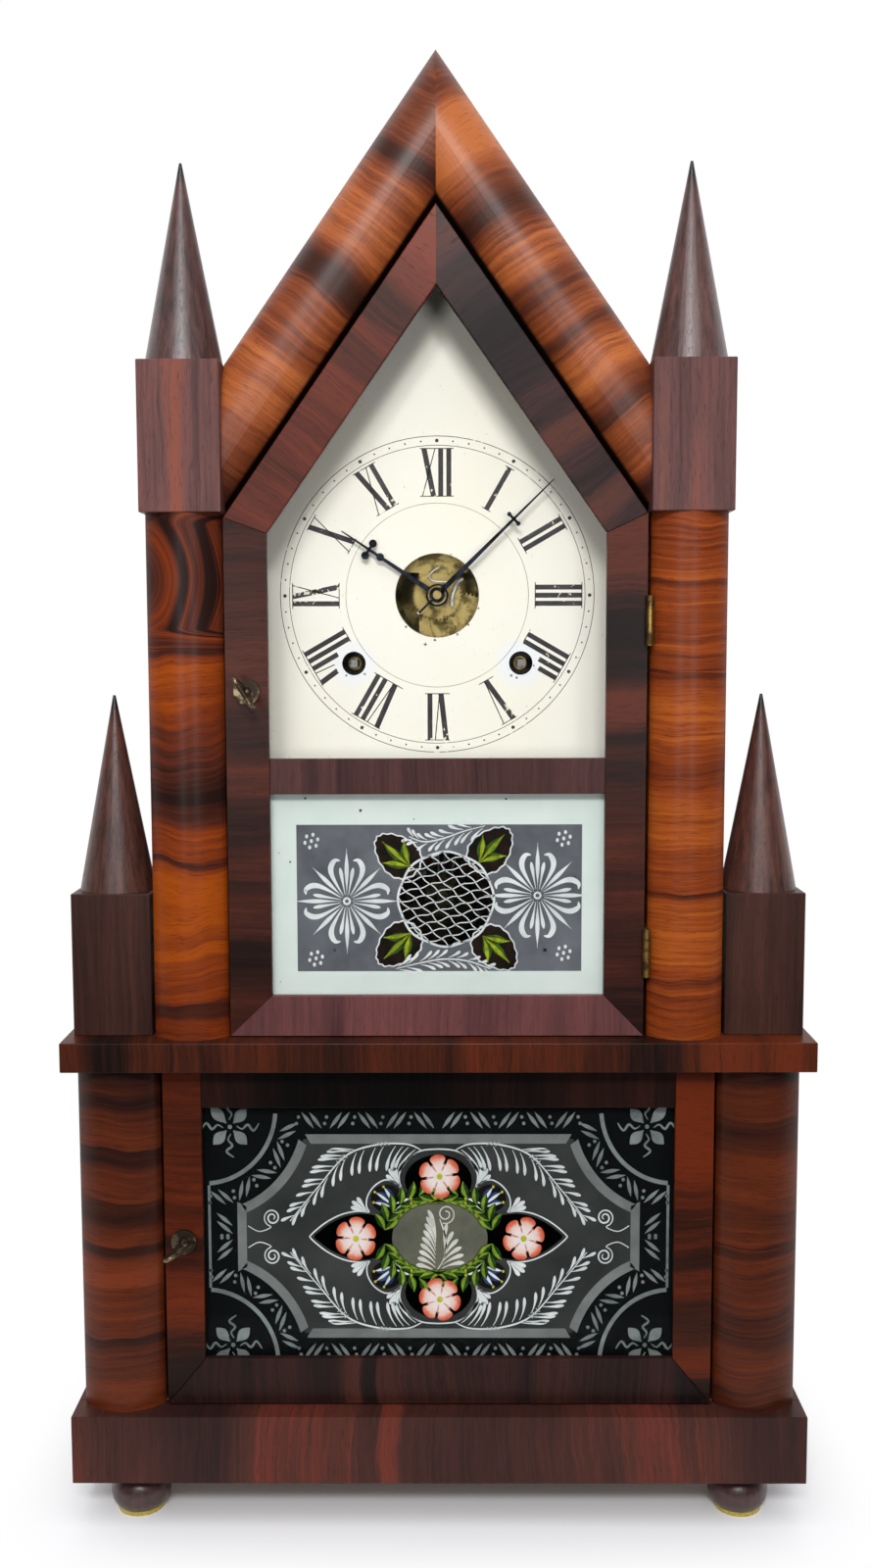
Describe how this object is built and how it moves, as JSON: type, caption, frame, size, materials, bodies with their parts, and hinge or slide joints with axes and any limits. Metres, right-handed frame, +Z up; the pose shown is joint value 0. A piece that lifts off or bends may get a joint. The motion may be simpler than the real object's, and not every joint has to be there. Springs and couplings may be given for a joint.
{
  "type": "double steeple clock",
  "caption": "Two-storey mantel clock with a gabled roof, steeples on blocks, half-round columns, hinged doors with painted glass, a dial with hands, and a spring-driven striking movement.",
  "frame": {"origin": "middle of the footprint, on the floor under the felt pads", "axes": "+Z up, -Y towards the viewer of the dial, +X to that viewer's right"},
  "size_m": [0.34, 0.1244, 0.6636],
  "materials": {
    "dark_mahogany": "satin varnish",
    "crotch_veneer": "glossy shellac",
    "door_veneer": "satin shellac",
    "stained_pine": "stained and varnished",
    "raw_pine": "bare, aged",
    "felt": "felt",
    "clear_glass": "old window glass",
    "painted_glass": "reverse painted",
    "dial_paint": "cream paint on zinc",
    "blued_steel": "blue-black",
    "latch_metal": "tarnished",
    "spring_steel": "oiled",
    "black_iron": "japanned",
    "brass": "aged"
  },
  "bodies": {
    "case": {"plinth_front": "dark_mahogany", "plinth_returns": "stained_pine", "base_board": "raw_pine", "bun_feet": "dark_mahogany", "lower_sides": "stained_pine", "lower_back_board": "raw_pine", "shelf": "crotch_veneer", "upper_sides": "stained_pine", "roof_boards": "stained_pine", "upper_back_board": "raw_pine", "upper_columns": "crotch_veneer", "lower_columns": "crotch_veneer", "upper_blocks": "dark_mahogany", "upper_steeples": "dark_mahogany", "lower_blocks": "dark_mahogany", "lower_steeples": "dark_mahogany", "gable_mouldings": "crotch_veneer", "dial_strips": "raw_pine", "felt_pads": "felt", "hinge_case_leaves": "brass", "lower_door_pivots": "spring_steel", "dial": "dial_paint", "front_plate": "brass", "rear_plate": "brass", "plate_pillars": "brass", "mainsprings": "spring_steel", "gong": "spring_steel", "back_board_studs": "black_iron"},
    "upper_door": {"upper_door_stiles": "door_veneer", "upper_door_gable_rails": "door_veneer", "upper_door_crossbar": "door_veneer", "upper_door_bottom_rail": "door_veneer", "dial_glass": "clear_glass", "upper_tablet": "painted_glass", "hinge_door_leaves": "brass"},
    "lower_door": {"lower_door_stiles": "door_veneer", "lower_door_top_rail": "door_veneer", "lower_door_bottom_rail": "door_veneer", "lower_tablet": "painted_glass"},
    "upper_latch": {"upper_latch": "latch_metal"},
    "lower_latch": {"lower_latch": "latch_metal"},
    "minute_hand": {"minute_hand": "blued_steel", "cannon_pinion": "brass"},
    "minute_wheel": {"minute_wheel": "brass"},
    "hour_hand": {"hour_hand": "blued_steel", "hour_wheel": "brass"},
    "time_great_wheel": {"time_great_wheel": "brass"},
    "time_second_wheel": {"time_second_wheel": "brass"},
    "centre_wheel": {"centre_wheel": "brass"},
    "third_wheel": {"third_wheel": "brass"},
    "escape_wheel": {"escape_wheel": "brass"},
    "verge": {"verge": "spring_steel"},
    "pendulum": {"pendulum_rod": "spring_steel", "pendulum_bob": "brass"},
    "strike_great_wheel": {"strike_great_wheel": "brass"},
    "strike_second_wheel": {"strike_second_wheel": "brass"},
    "pin_wheel": {"pin_wheel": "brass"},
    "warning_wheel": {"warning_wheel": "brass"},
    "fly": {"fly": "brass"},
    "hammer": {"hammer": "spring_steel"}
  },
  "joints": [
    {"name": "upper_door_swing", "type": "hinge", "parent": "case", "child": "upper_door", "pos_m": [0.0941, -0.04895, 0], "axis": [0, 0, 1], "range_deg": [0, 110]},
    {"name": "lower_door_swing", "type": "hinge", "parent": "case", "child": "lower_door", "pos_m": [0.1237, -0.0445, 0], "axis": [0, 0, 1], "range_deg": [0, 95]},
    {"name": "upper_latch_turn", "type": "hinge", "parent": "upper_door", "child": "upper_latch", "pos_m": [-0.08475, 0, 0.3855], "axis": [0, 1, 0], "range_deg": [0, 90]},
    {"name": "lower_latch_turn", "type": "hinge", "parent": "lower_door", "child": "lower_latch", "pos_m": [-0.11735, 0, 0.1325], "axis": [0, 1, 0], "range_deg": [0, 90]},
    {"name": "minute_hand_turn", "type": "hinge", "parent": "case", "child": "minute_hand", "pos_m": [0, 0, 0.429], "axis": [0, 1, 0], "continuous": true},
    {"name": "minute_wheel_turn", "type": "hinge", "parent": "case", "child": "minute_wheel", "pos_m": [0.007, 0, 0.41688], "axis": [0, 1, 0], "continuous": true},
    {"name": "hour_hand_turn", "type": "hinge", "parent": "case", "child": "hour_hand", "pos_m": [0, 0, 0.429], "axis": [0, 1, 0], "continuous": true},
    {"name": "escape_wheel_turn", "type": "hinge", "parent": "case", "child": "escape_wheel", "pos_m": [0, 0, 0.4633], "axis": [0, 1, 0], "continuous": true},
    {"name": "third_wheel_turn", "type": "hinge", "parent": "case", "child": "third_wheel", "pos_m": [0.0099, 0, 0.44615], "axis": [0, 1, 0], "continuous": true},
    {"name": "centre_wheel_turn", "type": "hinge", "parent": "case", "child": "centre_wheel", "pos_m": [0, 0, 0.429], "axis": [0, 1, 0], "continuous": true},
    {"name": "time_second_wheel_turn", "type": "hinge", "parent": "case", "child": "time_second_wheel", "pos_m": [0.0121, 0, 0.41111], "axis": [0, 1, 0], "continuous": true},
    {"name": "time_great_wheel_turn", "type": "hinge", "parent": "case", "child": "time_great_wheel", "pos_m": [0.039, 0, 0.3976], "axis": [0, 1, 0], "continuous": true},
    {"name": "fly_turn", "type": "hinge", "parent": "case", "child": "fly", "pos_m": [-0.01601, 0, 0.4715], "axis": [0, 1, 0], "continuous": true},
    {"name": "warning_wheel_turn", "type": "hinge", "parent": "case", "child": "warning_wheel", "pos_m": [-0.02301, 0, 0.45938], "axis": [0, 1, 0], "continuous": true},
    {"name": "pin_wheel_turn", "type": "hinge", "parent": "case", "child": "pin_wheel", "pos_m": [-0.03603, 0, 0.44845], "axis": [0, 1, 0], "continuous": true},
    {"name": "strike_second_wheel_turn", "type": "hinge", "parent": "case", "child": "strike_second_wheel", "pos_m": [-0.04162, 0, 0.42758], "axis": [0, 1, 0], "continuous": true},
    {"name": "strike_great_wheel_turn", "type": "hinge", "parent": "case", "child": "strike_great_wheel", "pos_m": [-0.039, 0, 0.3976], "axis": [0, 1, 0], "continuous": true},
    {"name": "pendulum_swing", "type": "hinge", "parent": "case", "child": "pendulum", "pos_m": [0, 0, 0.4845], "axis": [0, 1, 0], "range_deg": [-4, 4]},
    {"name": "verge_rock", "type": "hinge", "parent": "case", "child": "verge", "pos_m": [0, 0, 0.4845], "axis": [0, 1, 0], "range_deg": [-4, 4]},
    {"name": "hammer_lift", "type": "hinge", "parent": "case", "child": "hammer", "pos_m": [-0.011, 0, 0.379], "axis": [0, 1, 0], "range_deg": [0, 12]}
  ],
  "couplings": [
    {"joint": "minute_wheel_turn", "follows": "minute_hand_turn", "ratio": -0.33333},
    {"joint": "hour_hand_turn", "follows": "minute_hand_turn", "ratio": 0.083333},
    {"joint": "third_wheel_turn", "follows": "escape_wheel_turn", "ratio": -0.1},
    {"joint": "centre_wheel_turn", "follows": "escape_wheel_turn", "ratio": 0.01},
    {"joint": "time_second_wheel_turn", "follows": "escape_wheel_turn", "ratio": -0.00125},
    {"joint": "time_great_wheel_turn", "follows": "escape_wheel_turn", "ratio": 0.00012821},
    {"joint": "fly_turn", "follows": "warning_wheel_turn", "ratio": -6},
    {"joint": "pin_wheel_turn", "follows": "warning_wheel_turn", "ratio": -0.13333},
    {"joint": "strike_second_wheel_turn", "follows": "warning_wheel_turn", "ratio": 0.016667},
    {"joint": "strike_great_wheel_turn", "follows": "warning_wheel_turn", "ratio": -0.0017094},
    {"joint": "verge_rock", "follows": "pendulum_swing", "ratio": 1}
  ]
}
